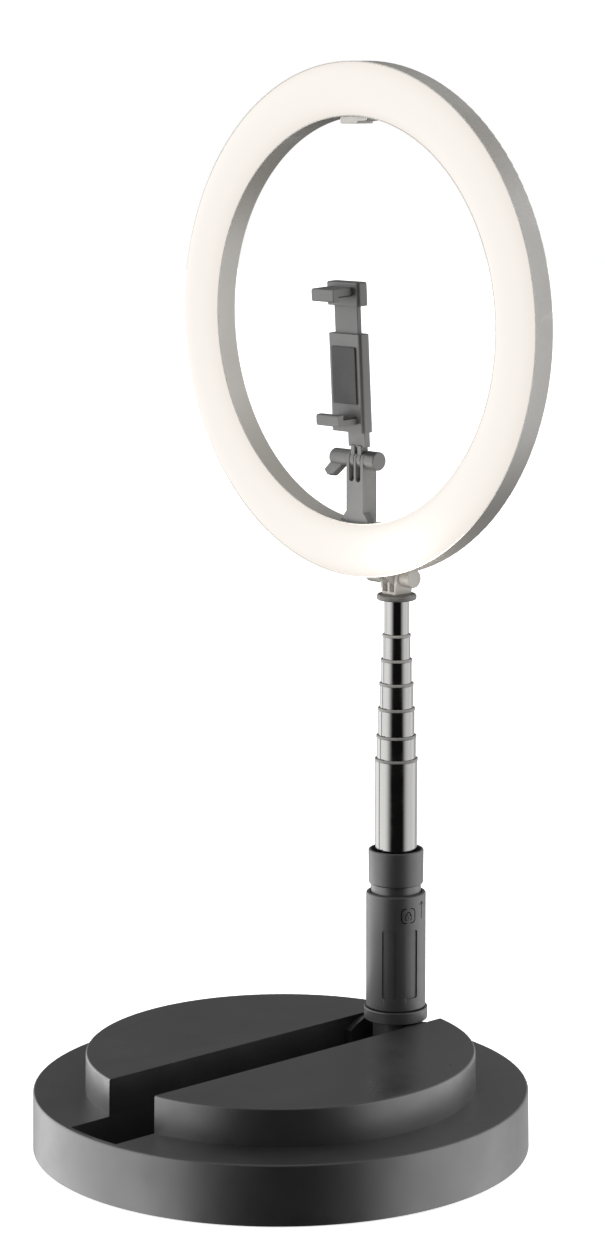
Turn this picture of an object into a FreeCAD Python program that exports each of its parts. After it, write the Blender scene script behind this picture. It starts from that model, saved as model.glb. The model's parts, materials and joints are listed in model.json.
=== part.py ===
import FreeCAD, Part
import math
import os

# Fold-flat ring light on a weighted round base. Millimetres, +Z up.
# Origin: centre of the base on the floor. The lamp faces -Y; the hinges turn about X.

V = FreeCAD.Vector
X_AXIS = V(1, 0, 0)
Y_AXIS = V(0, 1, 0)
Z_AXIS = V(0, 0, 1)

# ---- driving dimensions -------------------------------------------------
BASE_R = 150.0            # flange radius at the floor
FLANGE_TOP = 36.5         # height of the flange
DISC_R = 118.0            # raised disc that the folded ring nests around
DISC_TOP = 59.0
DRAFT = 0.5               # how much each upright wall leans in
SHELL = 3.0               # casing wall
FOOT_T = 1.5              # rubber foot ring thickness
COVER_T = 2.5             # bottom cover thickness
CASING_LIFT = 0.8         # casing edge above the floor
MARK_PLACE = (93.5, 50.9)   # gate mark in the top of the right deck
MARK_R = 3.0              # radius of the ball that forms the mark
MARK_DEPTH = 0.3
RIM_DROP = 3.0            # how far the rim under each deck reaches into the flange

SLOT_HALF = 20.75         # half width of the slot that the pole folds into
SLOT_FRONT_R = 146.0      # the rim wall in front of the slot starts here
SLOT_FLOOR = 6.5
SLOT_REAR_Y = 113.5       # end of the deep part of the slot
CHEEK_FRONT_Y = 73.0      # front face of the hinge cheeks
CHEEK_INNER = 16.25       # half gap between the hinge cheeks

POLE_Y = 96.0             # pole axis
FOLD_Z = 22.0             # fold axle height
AXLE_R = 4.0
RUNNING = 0.05            # radial clearance of a pin that turns
GAP = 0.3                 # clearance between parts that move past each other

STEM_R = 14.2             # foot stem
KNUCKLE_R = 13.0
KNUCKLE_HALF = 15.9
COLLAR_R = 19.8
COLLAR_Z = (59.3, 66.8)
GRIP_R = 18.5
GRIP_Z = (67.1, 140.0)
GRIP_SHOULDER_Z = 118.0   # inner shoulder that the grip spring pushes on
FLUTE_HALF = 4.4
FLUTE_Z = (75.4, 118.7)
FLUTE_DEPTH = 0.8
FLUTE_CORNER = 1.3
FLUTE_ANGLES = (33.1, 77.8)   # degrees around the grip from the front
NECK_R = 15.5
NECK_Z = (137.0, 145.5)
SLEEVE_R = (16.85, 17.1)  # bottom and top radius of the upper sleeve
SLEEVE_Z = (145.5, 167.0)

TUBE_R1 = 13.0            # lowest tube
TUBE_STEP = 0.9           # radius lost at each stage
TUBE_WALL = 0.6
TUBE_BOTTOM = 64.0        # bottom of the lowest tube
TUBE_LENGTH = 158.0       # length of each sliding tube
STAGE_TOPS = (224.3, 238.8, 255.9, 271.4, 286.3, 301.6)   # tops of the ring bushes
BUSH_T = 1.7
BUSH_PROUD = 0.35
DENT_Z = (219.8, 234.3, 251.2, 267.1, 282.2, 297.5, 317.9)
DENT_R = 1.6
DENT_DEPTH = 0.3
KEY_HALF = 1.8            # rolled key groove that stops the tubes turning
KEY_DEPTH = 0.4

CAP_Z = (322.7, 326.5)    # disc that closes the mast
CAP_R = 12.15
TILT_Z = 337.0            # ring tilt axis, above the pole axis
TILT_EYE_R = 7.0
BOLT_R = 2.0
PRONG_HALF = 7.3          # half width over the three prongs
PRONG_T = 2.4
SLOT_W = 4.0              # slot between two prongs
FINGER_T = 3.4            # finger that turns in a slot
NUT_R = 5.6
NUT_END = 15.6
KNOB_R = 5.3
KNOB_END = -24.0

RING_Z = 493.8            # ring centre height
RING_R = 152.5
RING_BORE_R = 120.5
RING_FRONT_Y = 57.3
RING_REAR_Y = 72.1
RING_WALL = 2.0
LIP_T = 0.7               # thin housing edge around the diffuser
LEDGE = 1.5               # depth of the diffuser seat
BULGE = 7.3               # how far the diffuser stands forward
DIFFUSER_T = 1.6
LED_COUNT = 60
RING_SCREWS = 8
INLET_PITCH_R = 146.6     # the socket's distance from the ring's centre
INLET_ANGLE = -73.0       # degrees from +X, low on the right of the ring's back
INLET_R = 3.7
INLET_END_Y = 77.6

ARM_Y = (60.9, 72.1)      # phone arm, front and rear face
ARM_HINGE_Y = 66.5
ARM_HINGE_Z = 411.0
ARM_SLOT_Z = 398.0
ARM_EYE_R = 5.6

CLAMP_LEAN = 3.0          # degrees that the phone clamp leans forward as stored
JAW_HALF = 9.5
BODY_HALF = 14.0
BODY_Y = (55.8, 64.4)
BODY_Z = (428.9, 487.5)
LIP_Y = (40.0, 44.4)
TONGUE_HALF = 10.0
TONGUE_Y = (58.4, 61.6)
TONGUE_BOTTOM = 450.0
POCKET_BOTTOM = 431.5


# ---- small helpers ------------------------------------------------------
def box(x0, x1, y0, y1, z0, z1):
    return Part.makeBox(x1 - x0, y1 - y0, z1 - z0, V(x0, y0, z0))


def rod_x(radius, x0, x1, y, z):
    return Part.makeCylinder(radius, x1 - x0, V(x0, y, z), X_AXIS)


def rod_y(radius, y0, y1, x, z):
    return Part.makeCylinder(radius, y1 - y0, V(x, y0, z), Y_AXIS)


def rod_z(radius, z0, z1, x=0.0, y=POLE_Y):
    return Part.makeCylinder(radius, z1 - z0, V(x, y, z0), Z_AXIS)


def tube_z(outer, inner, z0, z1, x=0.0, y=POLE_Y):
    return rod_z(outer, z0, z1, x, y).cut(rod_z(inner, z0 - 1, z1 + 1, x, y))


def face(points):
    return Part.Face(Part.makePolygon(points + points[:1]))


def revolve(outline):
    """Turns an outline of (radius, height) points about the base's own axis."""
    return face([V(r, 0, z) for r, z in outline]).revolve(V(0, 0, 0), Z_AXIS, 360)


def revolve_ring(wires_face):
    """Turns a face drawn at x = radius about the ring's axis."""
    return wires_face.revolve(V(0, 0, RING_Z), Y_AXIS, 360)


def plate_x(points, x0, x1):
    """A plate with a side outline of (y, z) points, between two x positions."""
    return face([V(x0, y, z) for y, z in points]).extrude(V(x1 - x0, 0, 0))


def plate_y(points, y0, y1):
    """A plate with a front outline of (x, z) points, between two y positions."""
    return face([V(x, y0, z) for x, z in points]).extrude(V(0, y1 - y0, 0))


def soften(shape, radius, test):
    """Rounds the edges whose middle passes the test."""
    edges = []
    for edge in shape.Edges:
        middle = edge.valueAt((edge.FirstParameter + edge.LastParameter) / 2)
        if edge.Length > 0.5 and test(middle):
            edges.append(edge)
    return shape.makeFillet(radius, edges) if edges else shape


def join(shapes):
    whole = shapes[0]
    for shape in shapes[1:]:
        whole = whole.fuse(shape)
    return whole.removeSplitter()


def around(count, make, start=0.5):
    """One shape for each of count even steps of a turn."""
    return [make(2 * math.pi * (i + start) / count) for i in range(count)]


def coil(radius, wire, z0, z1, turns, x, y):
    """A round-wire spring standing on z0."""
    path = Part.makeHelix((z1 - z0 - 2 * wire) / turns, z1 - z0 - 2 * wire, radius)
    ring = Part.Wire(Part.makeCircle(wire, V(radius, 0, 0), Y_AXIS))
    spring = Part.Wire(path).makePipeShell([ring], True, True)
    spring.translate(V(x, y, z0 + wire))
    return spring


def lean(shape):
    """Turns a clamp piece from upright to the leaning pose it is stored in."""
    turned = shape.copy()
    turned.rotate(V(0, ARM_HINGE_Y, ARM_HINGE_Z), X_AXIS, CLAMP_LEAN)
    return turned


def save(name, shapes):
    shape = shapes if not isinstance(shapes, list) else Part.makeCompound(shapes)
    shape.exportStep("parts/" + name + ".step")


# ---- base ---------------------------------------------------------------
def slot_space():
    """The room that the folded pole lies in."""
    deep = box(-SLOT_HALF, SLOT_HALF, -BASE_R, SLOT_REAR_Y, SLOT_FLOOR, DISC_TOP + 5)
    deep = deep.common(rod_z(SLOT_FRONT_R, 0, DISC_TOP + 5, 0, 0))
    shallow = box(-SLOT_HALF, SLOT_HALF, 0, DISC_R + 5, FLANGE_TOP, DISC_TOP + 5)
    shallow = shallow.common(rod_z(DISC_R + 2, FLANGE_TOP, DISC_TOP + 5, 0, 0))
    return deep.fuse(shallow)


def casing():
    """Flange and raised disc as one hollow shell, before the disc is parted from it."""
    outer = revolve([(0, CASING_LIFT), (BASE_R, CASING_LIFT), (BASE_R - DRAFT, FLANGE_TOP),
                     (DISC_R, FLANGE_TOP), (DISC_R - DRAFT, DISC_TOP), (0, DISC_TOP)])
    outer = soften(outer, 1.3, lambda p: p.z > FLANGE_TOP - 1 and math.hypot(p.x, p.y) > DISC_R - 1
                   and abs(math.hypot(p.x, p.y) - DISC_R) > 0.1)
    top = FLANGE_TOP - SHELL
    disc_top = DISC_TOP - SHELL
    hollow = revolve([(0, 0), (BASE_R - SHELL, 0), (BASE_R - SHELL - DRAFT, top),
                      (DISC_R - SHELL, top), (DISC_R - SHELL - DRAFT, disc_top), (0, disc_top)])
    channel = box(-SLOT_HALF - SHELL, SLOT_HALF + SHELL, -BASE_R, DISC_R + 5,
                  FOOT_T + COVER_T, DISC_TOP)
    return outer.cut(hollow.cut(channel)).cut(slot_space())


def base_shell():
    """Lower casing: the outer wall, the flange and the sides of the slot."""
    shell = casing().common(box(-BASE_R, BASE_R, -BASE_R, BASE_R, 0, FLANGE_TOP))
    for boss in screw_places():
        shell = shell.fuse(rod_z(4.0, FOOT_T + COVER_T, FLANGE_TOP - SHELL + 0.5, *boss))
        shell = shell.cut(rod_z(1.3, 0, 16, *boss))
    for place in bracket_screw_places():
        shell = shell.cut(rod_z(1.5, 0, 20, *place))
    return shell.removeSplitter()


def deck(side):
    """Half of the raised disc, on one side of the slot, with a rim that drops into the flange."""
    half = casing().common(box(0, BASE_R, -BASE_R, BASE_R, FLANGE_TOP, DISC_TOP))
    inner = DISC_R - SHELL
    rim = tube_z(inner - 0.2, inner - 1.8, FLANGE_TOP - RIM_DROP, FLANGE_TOP + 4, 0, 0)
    link = tube_z(inner + 0.5, inner - 1.8, FLANGE_TOP, FLANGE_TOP + 4, 0, 0)
    keep = box(SLOT_HALF + SHELL + 0.2, BASE_R, -BASE_R, BASE_R, 0, DISC_TOP)
    half = half.fuse(rim.fuse(link).common(keep)).removeSplitter()
    if side < 0:
        return half.mirror(V(0, 0, 0), X_AXIS)
    return half.cut(Part.makeSphere(MARK_R, V(*MARK_PLACE, DISC_TOP + MARK_R - MARK_DEPTH)))


def screw_places():
    return around(8, lambda a: (132.5 * math.cos(a), 132.5 * math.sin(a)))


def bottom_cover():
    cover = rod_z(BASE_R - SHELL - 0.3, FOOT_T, FOOT_T + COVER_T, 0, 0)
    for place in screw_places():
        cover = cover.cut(rod_z(1.6, 0, 10, *place)).cut(rod_z(3.2, 0, FOOT_T + 1.3, *place))
    return cover


def cover_screws():
    return [rod_z(3.0, FOOT_T, FOOT_T + 1.3, *p).fuse(rod_z(1.3, FOOT_T + 1.3, 14, *p))
            for p in screw_places()]


def foot_ring():
    return tube_z(BASE_R - 5.0, BASE_R - 12.0, 0, FOOT_T, 0, 0)


def ballast_plates():
    """Two steel slabs that keep the base down, one on each side of the slot."""
    low = FOOT_T + COVER_T
    slab = rod_z(108.0, low, low + 9.0, 0, 0)
    side = SLOT_HALF + SHELL + 1.5
    return [slab.common(box(side, BASE_R, -BASE_R, BASE_R, 0, 60)),
            slab.common(box(-BASE_R, -side, -BASE_R, BASE_R, 0, 60))]


def hinge_bracket():
    """U bracket in the slot: two cheeks that carry the fold axle, on a floor plate."""
    floor = box(-SLOT_HALF + 0.1, SLOT_HALF - 0.1, CHEEK_FRONT_Y, SLOT_REAR_Y - 0.1,
                SLOT_FLOOR, SLOT_FLOOR + 1.0)
    cheek = box(CHEEK_INNER, SLOT_HALF - 0.1, CHEEK_FRONT_Y, SLOT_REAR_Y - 0.1,
                SLOT_FLOOR, DISC_TOP)
    swept = COLLAR_Z[0] - FOLD_Z - 0.4
    cheek = cheek.common(rod_x(swept, 0, BASE_R, POLE_Y, FOLD_Z))
    both = floor.fuse(cheek).fuse(cheek.mirror(V(0, 0, 0), X_AXIS))
    bracket = both.cut(rod_x(AXLE_R, -30, 30, POLE_Y, FOLD_Z))
    for place in bracket_screw_places():
        bracket = bracket.cut(rod_z(1.5, 0, 20, *place))
    return bracket.removeSplitter()


def bracket_screw_places():
    return [(x, y) for x in (-10.0, 10.0) for y in (CHEEK_FRONT_Y + 5, SLOT_REAR_Y - 5)]


def bracket_screws():
    top = SLOT_FLOOR + 1.0
    return [rod_z(1.5, FOOT_T + COVER_T + 0.2, top, *p) for p in bracket_screw_places()]


def fold_axle():
    return rod_x(AXLE_R, -SLOT_HALF + 0.2, SLOT_HALF - 0.2, POLE_Y, FOLD_Z)


# ---- pole ---------------------------------------------------------------
def pole_foot():
    knuckle = rod_x(KNUCKLE_R, -KNUCKLE_HALF, KNUCKLE_HALF, POLE_Y, FOLD_Z)
    stem = rod_z(STEM_R, FOLD_Z + 2, NECK_Z[0])
    foot = knuckle.fuse(stem)
    foot = foot.cut(rod_z(TUBE_R1, TUBE_BOTTOM, NECK_Z[0] + 1))
    return foot.cut(rod_x(AXLE_R + RUNNING, -30, 30, POLE_Y, FOLD_Z)).removeSplitter()


def pole_collar():
    ring = tube_z(COLLAR_R, STEM_R, *COLLAR_Z)
    return soften(ring, 0.6, lambda p: math.hypot(p.x, p.y - POLE_Y) > COLLAR_R - 0.5)


def flute(angle):
    """A shallow recess with rounded corners, standing at an angle around the grip."""
    low, high = FLUTE_Z
    slab = box(-FLUTE_HALF, FLUTE_HALF, -GRIP_R - 5, 0, low, high)
    slab = soften(slab, FLUTE_CORNER, lambda p: abs(p.x) > FLUTE_HALF - 0.1 and abs(p.z - low) < 0.1
                  or abs(p.x) > FLUTE_HALF - 0.1 and abs(p.z - high) < 0.1)
    slab = slab.cut(rod_z(GRIP_R - FLUTE_DEPTH, low - 1, high + 1, 0, 0))
    slab.rotate(V(0, 0, 0), Z_AXIS, angle)
    slab.translate(V(0, POLE_Y, 0))
    return slab


def grip_sleeve():
    """Ribbed sleeve that is pulled up to free the fold."""
    grip = soften(rod_z(GRIP_R, *GRIP_Z), 1.0, lambda p: math.hypot(p.x, p.y - POLE_Y) > 18)
    grip = grip.cut(rod_z(STEM_R + GAP, GRIP_Z[0] - 1, GRIP_Z[1] + 1))
    grip = grip.cut(rod_z(NECK_R + 0.7, GRIP_SHOULDER_Z, GRIP_Z[1] + 1))
    for side in (0, 180):
        for angle in FLUTE_ANGLES:
            grip = grip.cut(flute(side + angle))
    return grip.removeSplitter()


def grip_spring():
    return coil(15.35, 0.5, GRIP_SHOULDER_Z + 0.2, NECK_Z[0] - 0.2, 4, 0, POLE_Y)


def neck_bush():
    return tube_z(NECK_R, TUBE_R1, *NECK_Z)


def upper_sleeve():
    low, high = SLEEVE_Z
    body = Part.makeCone(SLEEVE_R[0], SLEEVE_R[1], high - low, V(0, POLE_Y, low), Z_AXIS)
    body = soften(body, 0.8, lambda p: math.hypot(p.x, p.y - POLE_Y) > 16)
    body = body.cut(rod_z(TUBE_R1, low - 1, high + 1))
    return body.cut(rod_z(SLEEVE_R[1] - 1.6, high - 5, high + 1))


def mast_tube(stage):
    """Thin steel tube with a rolled key groove in front and a pressed dent on each side."""
    radius = TUBE_R1 - TUBE_STEP * stage
    if stage == 0:
        low = TUBE_BOTTOM
    elif stage < len(STAGE_TOPS):
        low = STAGE_TOPS[stage] - TUBE_LENGTH
    else:
        low = CAP_Z[0] - TUBE_LENGTH
    high = STAGE_TOPS[stage] - BUSH_T if stage < len(STAGE_TOPS) else CAP_Z[0]
    front = POLE_Y - radius
    wall = rod_z(radius, low, high)
    wall = wall.cut(box(-KEY_HALF, KEY_HALF, front - 1, front + KEY_DEPTH, low - 1, high + 1))
    bore = rod_z(radius - TUBE_WALL, low - 1, high + 1)
    ridge = box(-KEY_HALF + GAP, KEY_HALF - GAP, front - 1, front + TUBE_WALL + KEY_DEPTH,
                low - 2, high + 2)
    tube = wall.cut(bore.cut(ridge))
    ball = (DENT_R ** 2 + DENT_DEPTH ** 2) / (2 * DENT_DEPTH)
    for side in (-1, 1):
        centre = V(side * (radius + ball - DENT_DEPTH), POLE_Y, DENT_Z[stage])
        tube = tube.cut(Part.makeSphere(ball, centre))
    return tube


def ring_bush(stage):
    """Plastic ring on the mouth of a tube."""
    radius = TUBE_R1 - TUBE_STEP * stage
    high = STAGE_TOPS[stage]
    ring = rod_z(radius + BUSH_PROUD, high - BUSH_T, high)
    ring = soften(ring, 0.4, lambda p: math.hypot(p.x, p.y - POLE_Y) > radius)
    return ring.cut(rod_z(radius - TUBE_STEP + GAP, high - 5, high + 5))


# ---- finger hinges ------------------------------------------------------
def prong_spans():
    """The x spans of the three prongs."""
    middle = PRONG_HALF - PRONG_T - SLOT_W
    return [(-PRONG_HALF, -PRONG_HALF + PRONG_T), (-middle, middle),
            (PRONG_HALF - PRONG_T, PRONG_HALF)]


def finger_spans():
    """The x spans of the two fingers that turn between the prongs."""
    centre = PRONG_HALF - PRONG_T - SLOT_W / 2
    return [(s * centre - FINGER_T / 2, s * centre + FINGER_T / 2) for s in (-1, 1)]


def hinge_nut(y, z):
    """Round captive nut on the right of a finger hinge."""
    nut = rod_x(NUT_R, PRONG_HALF, NUT_END, y, z)
    nut = soften(nut, 0.7, lambda p: p.x > NUT_END - 0.1)
    return nut.cut(rod_x(BOLT_R, 0, 13.0, y, z))


def hinge_bolt(y, z):
    return rod_x(BOLT_R, KNOB_END + 4, 13.0, y, z)


def hinge_knob(y, z, angle):
    """Clamping knob on the left of a finger hinge, with one wing."""
    start = -PRONG_HALF - GAP
    barrel = rod_x(KNOB_R, KNOB_END, start, y, z)
    barrel = soften(barrel, 2.0, lambda p: p.x < KNOB_END + 0.1)
    wing = plate_y([(KNOB_END + 11, z), (KNOB_END + 11, z + 4.5), (KNOB_END + 6, z + 10.5),
                    (KNOB_END + 4.5, z + 11.5), (KNOB_END - 0.3, z + 11.8), (KNOB_END - 3.8, z + 9),
                    (KNOB_END, z + 4), (KNOB_END + 1, z)], y - 2.2, y + 2.2)
    wing = soften(wing, 0.7, lambda p: p.z > z + 0.5)
    wing.rotate(V(0, y, z), X_AXIS, angle)
    knob = barrel.fuse(wing)
    return knob.cut(rod_x(BOLT_R + RUNNING, KNOB_END + 4 - GAP, start + 1, y, z)).removeSplitter()


def mast_head():
    """Cap disc, plug and three prongs, moulded in one piece."""
    disc = soften(rod_z(CAP_R, *CAP_Z), 1.3, lambda p: math.hypot(p.x, p.y - POLE_Y) > CAP_R - 1)
    plug = rod_z(6.4, CAP_Z[0] - 16, CAP_Z[0] + 1)
    fork = rod_x(TILT_EYE_R, -PRONG_HALF, PRONG_HALF, POLE_Y, TILT_Z)
    fork = fork.fuse(box(-PRONG_HALF, PRONG_HALF, POLE_Y - TILT_EYE_R, POLE_Y + TILT_EYE_R,
                         CAP_Z[1] - 0.5, TILT_Z))
    for side in (-1, 1):
        wedge = plate_y([(side * PRONG_HALF, TILT_Z - 3), (side * 9, TILT_Z - 3),
                         (side * 9, CAP_Z[1]), (side * 5.6, CAP_Z[1])], POLE_Y - 9, POLE_Y + 9)
        fork = fork.cut(wedge)
    for low, high in finger_spans():
        middle = (low + high) / 2
        fork = fork.cut(box(middle - SLOT_W / 2, middle + SLOT_W / 2, POLE_Y - 20, POLE_Y + 20,
                            CAP_Z[1] + 1.8, TILT_Z + 20))
    head = join([disc, plug, fork])
    return head.cut(rod_x(BOLT_R, -20, 20, POLE_Y, TILT_Z))


# ---- ring ---------------------------------------------------------------
def screw_ring():
    radius = (RING_R + RING_BORE_R) / 2
    return around(RING_SCREWS, lambda a: (radius * math.cos(a), RING_Z + radius * math.sin(a)))


def ring_housing():
    """Open trough: outer wall, rear wall and inner wall, with a seat for the diffuser."""
    y0, y1 = RING_FRONT_Y, RING_REAR_Y
    outline = face([V(RING_BORE_R, y0, RING_Z), V(RING_R, y0, RING_Z),
                    V(RING_R, y1, RING_Z), V(RING_BORE_R, y1, RING_Z)])
    body = revolve_ring(outline)
    body = soften(body, 1.6, lambda p: p.y > y1 - 0.1)
    seat = revolve_ring(face([V(RING_BORE_R + LIP_T, y0 - 1, RING_Z), V(RING_R - LIP_T, y0 - 1, RING_Z),
                              V(RING_R - LIP_T, y0 + LEDGE, RING_Z),
                              V(RING_BORE_R + LIP_T, y0 + LEDGE, RING_Z)]))
    trough = revolve_ring(face([V(RING_BORE_R + RING_WALL, y0, RING_Z),
                                V(RING_R - RING_WALL, y0, RING_Z),
                                V(RING_R - RING_WALL, y1 - RING_WALL, RING_Z),
                                V(RING_BORE_R + RING_WALL, y1 - RING_WALL, RING_Z)]))
    body = body.cut(seat).cut(trough)
    for x, z in screw_ring():
        body = body.fuse(rod_y(3.5, 68.1, y1 - RING_WALL + 0.5, x, z))
        body = body.cut(rod_y(1.3, 60, y1 + 1, x, z)).cut(rod_y(2.7, y1 - 1.2, y1 + 1, x, z))
    return body.cut(inlet_rod(INLET_R, RING_REAR_Y - RING_WALL - 1, RING_REAR_Y + 1))


def ring_screws():
    return [rod_y(2.6, RING_REAR_Y - 1.2, RING_REAR_Y - 0.1, x, z).fuse(
        rod_y(1.3, 66.6, RING_REAR_Y - 1.2, x, z)) for x, z in screw_ring()]


def diffuser():
    """Milky cover, bulging forward between the two housing edges."""
    inner = RING_BORE_R + LIP_T
    outer = RING_R - LIP_T
    middle = (inner + outer) / 2
    seat = RING_FRONT_Y + LEDGE
    front = RING_FRONT_Y

    def bow(low_x, high_x, y, height):
        return Part.Arc(V(low_x, y, RING_Z), V(middle, y - height, RING_Z), V(high_x, y, RING_Z))

    t = DIFFUSER_T
    edges = [bow(inner, outer, front, BULGE).toShape(),
             Part.LineSegment(V(outer, front, RING_Z), V(outer, seat, RING_Z)).toShape(),
             Part.LineSegment(V(outer, seat, RING_Z), V(outer - t, seat, RING_Z)).toShape(),
             bow(inner + t, outer - t, seat, BULGE + LEDGE - t).toShape(),
             Part.LineSegment(V(inner + t, seat, RING_Z), V(inner, seat, RING_Z)).toShape(),
             Part.LineSegment(V(inner, seat, RING_Z), V(inner, front, RING_Z)).toShape()]
    return revolve_ring(Part.Face(Part.Wire(Part.sortEdges(edges)[0])))


def led_board():
    board = revolve_ring(face([V(125, 66.5, RING_Z), V(148, 66.5, RING_Z),
                               V(148, 68.1, RING_Z), V(125, 68.1, RING_Z)]))
    for x, z in screw_ring():
        board = board.cut(rod_y(1.6, 60, 70, x, z))
    return board


def led_chips():
    chips = []
    for step in range(LED_COUNT):
        chip = box(135.0, 138.0, 65.8, 66.5, RING_Z - 1.5, RING_Z + 1.5)
        chip.rotate(V(0, 0, RING_Z), Y_AXIS, 360.0 * step / LED_COUNT)
        chips.append(chip)
    return chips


def tilt_bracket():
    """Plate on the back of the ring, with two fingers down to the tilt axis."""
    plate = plate_y([(-11, 344.5), (11, 344.5), (13, 349), (13, 366), (10, 369.5),
                     (-10, 369.5), (-13, 366), (-13, 349)], RING_REAR_Y, RING_REAR_Y + 3)
    plate = soften(plate, 0.8, lambda p: p.y > RING_REAR_Y + 2.9)
    fingers = []
    y, z = POLE_Y, TILT_Z
    for low, high in finger_spans():
        web = plate_x([(RING_REAR_Y + 2, 345.0), (y - 3.2, z - 6.2), (y, z), (y + 1.0, z + 6.9),
                       (RING_REAR_Y + 2, 353.5)], low, high)
        fingers.append(web.fuse(rod_x(TILT_EYE_R, low, high, y, z)))
    bracket = join([plate] + fingers)
    return bracket.cut(rod_x(BOLT_R + RUNNING, -20, 20, y, z))


def phone_arm():
    """Post on the inner edge of the ring, with three prongs on top."""
    foot_z = RING_Z - RING_BORE_R - 2
    y0, y1 = ARM_Y
    post = box(-PRONG_HALF, PRONG_HALF, y0, y1, foot_z, ARM_HINGE_Z)
    flare = plate_y([(-PRONG_HALF, 380), (-12.0, 374.5), (-12.0, foot_z), (12.0, foot_z),
                     (12.0, 374.5), (PRONG_HALF, 380)], y0, y0 + 5)
    eye = rod_x(ARM_EYE_R, -PRONG_HALF, PRONG_HALF, ARM_HINGE_Y, ARM_HINGE_Z)
    arm = join([post, flare, eye]).common(rod_y(RING_BORE_R, 50, 80, 0, RING_Z))
    for low, high in finger_spans():
        middle = (low + high) / 2
        arm = arm.cut(box(middle - SLOT_W / 2, middle + SLOT_W / 2, 50, 80,
                          ARM_SLOT_Z + SLOT_W / 2, ARM_HINGE_Z + 10))
        arm = arm.cut(rod_y(SLOT_W / 2, 50, 80, middle, ARM_SLOT_Z + SLOT_W / 2))
    return arm.cut(rod_x(BOLT_R, -20, 20, ARM_HINGE_Y, ARM_HINGE_Z))


def latch_tab():
    """Catch inside the top of the ring that holds the folded lamp shut."""
    tab = box(-9.6, 5.2, 58.2, 71.0, 609.9, 616).fuse(
        plate_y([(5.2, 611.2), (13.0, 611.8), (16.5, 616), (5.2, 616)], 58.2, 71.0))
    tab = soften(tab, 0.6, lambda p: p.z < 610)
    tab = tab.cut(box(6.4, 11.2, 62.0, 67.0, 605, 620))
    return tab.common(rod_y(RING_BORE_R, 50, 80, 0, RING_Z)).removeSplitter()


def inlet_rod(radius, y0, y1):
    """A round piece on the axis of the power inlet."""
    angle = math.radians(INLET_ANGLE)
    x = INLET_PITCH_R * math.cos(angle)
    return rod_y(radius, y0, y1, x, RING_Z + INLET_PITCH_R * math.sin(angle))


def power_inlet():
    """Round low-voltage socket that stands out of the ring's back."""
    body = inlet_rod(INLET_R, RING_REAR_Y - RING_WALL, INLET_END_Y)
    body = soften(body, 0.5, lambda p: p.y > INLET_END_Y - 0.1)
    return body.cut(inlet_rod(2.75, RING_REAR_Y - 1, INLET_END_Y + 1))


def inlet_pin():
    return inlet_rod(1.05, RING_REAR_Y - 1, INLET_END_Y - 0.8)


# ---- phone clamp, drawn upright and then leaned -------------------------
def clamp_stem():
    """Two fingers, joined above the prongs into the plate that carries the clamp."""
    y, z = ARM_HINGE_Y, ARM_HINGE_Z
    plate = box(-PRONG_HALF, PRONG_HALF, 63.0, 67.4, z + 8.0, BODY_Z[0])
    plate = plate.fuse(box(-PRONG_HALF, PRONG_HALF, BODY_Y[1], 67.4, BODY_Z[0] - 1, BODY_Z[0] + 26))
    pieces = [soften(plate, 0.6, lambda p: p.z > BODY_Z[0] + 25)]
    for low, high in finger_spans():
        pieces.append(box(low, high, 62.2, 68.0, z, z + 9.0))
        pieces.append(rod_x(ARM_EYE_R, low, high, y, z))
    return join(pieces).cut(rod_x(BOLT_R + RUNNING, -20, 20, y, z))


def clamp_body():
    """Back housing with the lower jaw; the upper jaw's tongue slides in its pocket."""
    y0, y1 = BODY_Y
    low, high = BODY_Z
    body = box(-BODY_HALF, BODY_HALF, y0, y1, low, high)
    body = soften(body, 2.2, lambda p: abs(p.x) > BODY_HALF - 0.1 and abs(p.y - 60.1) > 4)
    finger = box(-JAW_HALF, JAW_HALF, LIP_Y[0], y0 + 1, 434.2, 437.8)
    lip = box(-JAW_HALF, JAW_HALF, LIP_Y[0], LIP_Y[1], 434.2, 441.0)
    body = join([body, finger, lip])
    body = soften(body, 1.4, lambda p: p.y < LIP_Y[0] + 0.1 and abs(p.x) < 1)
    pocket = box(-TONGUE_HALF - GAP, TONGUE_HALF + GAP, TONGUE_Y[0] - GAP, TONGUE_Y[1] + GAP,
                 POCKET_BOTTOM, high + 1)
    return body.cut(pocket)


def upper_jaw():
    """Sliding jaw: cap, finger with its lip, and the tongue that goes into the housing."""
    cap = box(-BODY_HALF, BODY_HALF, BODY_Y[0], BODY_Y[1], 504.2, 518.3)
    cap = soften(cap, 2.2, lambda p: abs(p.x) > BODY_HALF - 0.1 and abs(p.y - 60.1) > 4)
    cap = soften(cap, 1.2, lambda p: p.z > 518.2)
    finger = box(-JAW_HALF, JAW_HALF, LIP_Y[0], BODY_Y[0] + 1, 510.9, 515.6)
    lip = box(-JAW_HALF, JAW_HALF, LIP_Y[0], LIP_Y[1], 508.0, 515.6)
    tongue = box(-TONGUE_HALF, TONGUE_HALF, TONGUE_Y[0], TONGUE_Y[1], TONGUE_BOTTOM, 506)
    jaw = join([cap, finger, lip, tongue])
    return soften(jaw, 1.4, lambda p: p.y < LIP_Y[0] + 0.1 and abs(p.x) < 1)


def jaw_pad(z0, z1):
    return box(-JAW_HALF + 1, JAW_HALF - 1, LIP_Y[1] + 0.2, BODY_Y[0] - 0.2, z0, z1)


def back_pad():
    return box(-10, 10, BODY_Y[0] - 1.1, BODY_Y[0], 446, 480)


def clamp_springs():
    y = (TONGUE_Y[0] + TONGUE_Y[1]) / 2
    return [coil(1.35, 0.25, POCKET_BOTTOM + 0.1, TONGUE_BOTTOM - 0.1, 8, x, y) for x in (-6, 6)]


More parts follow.
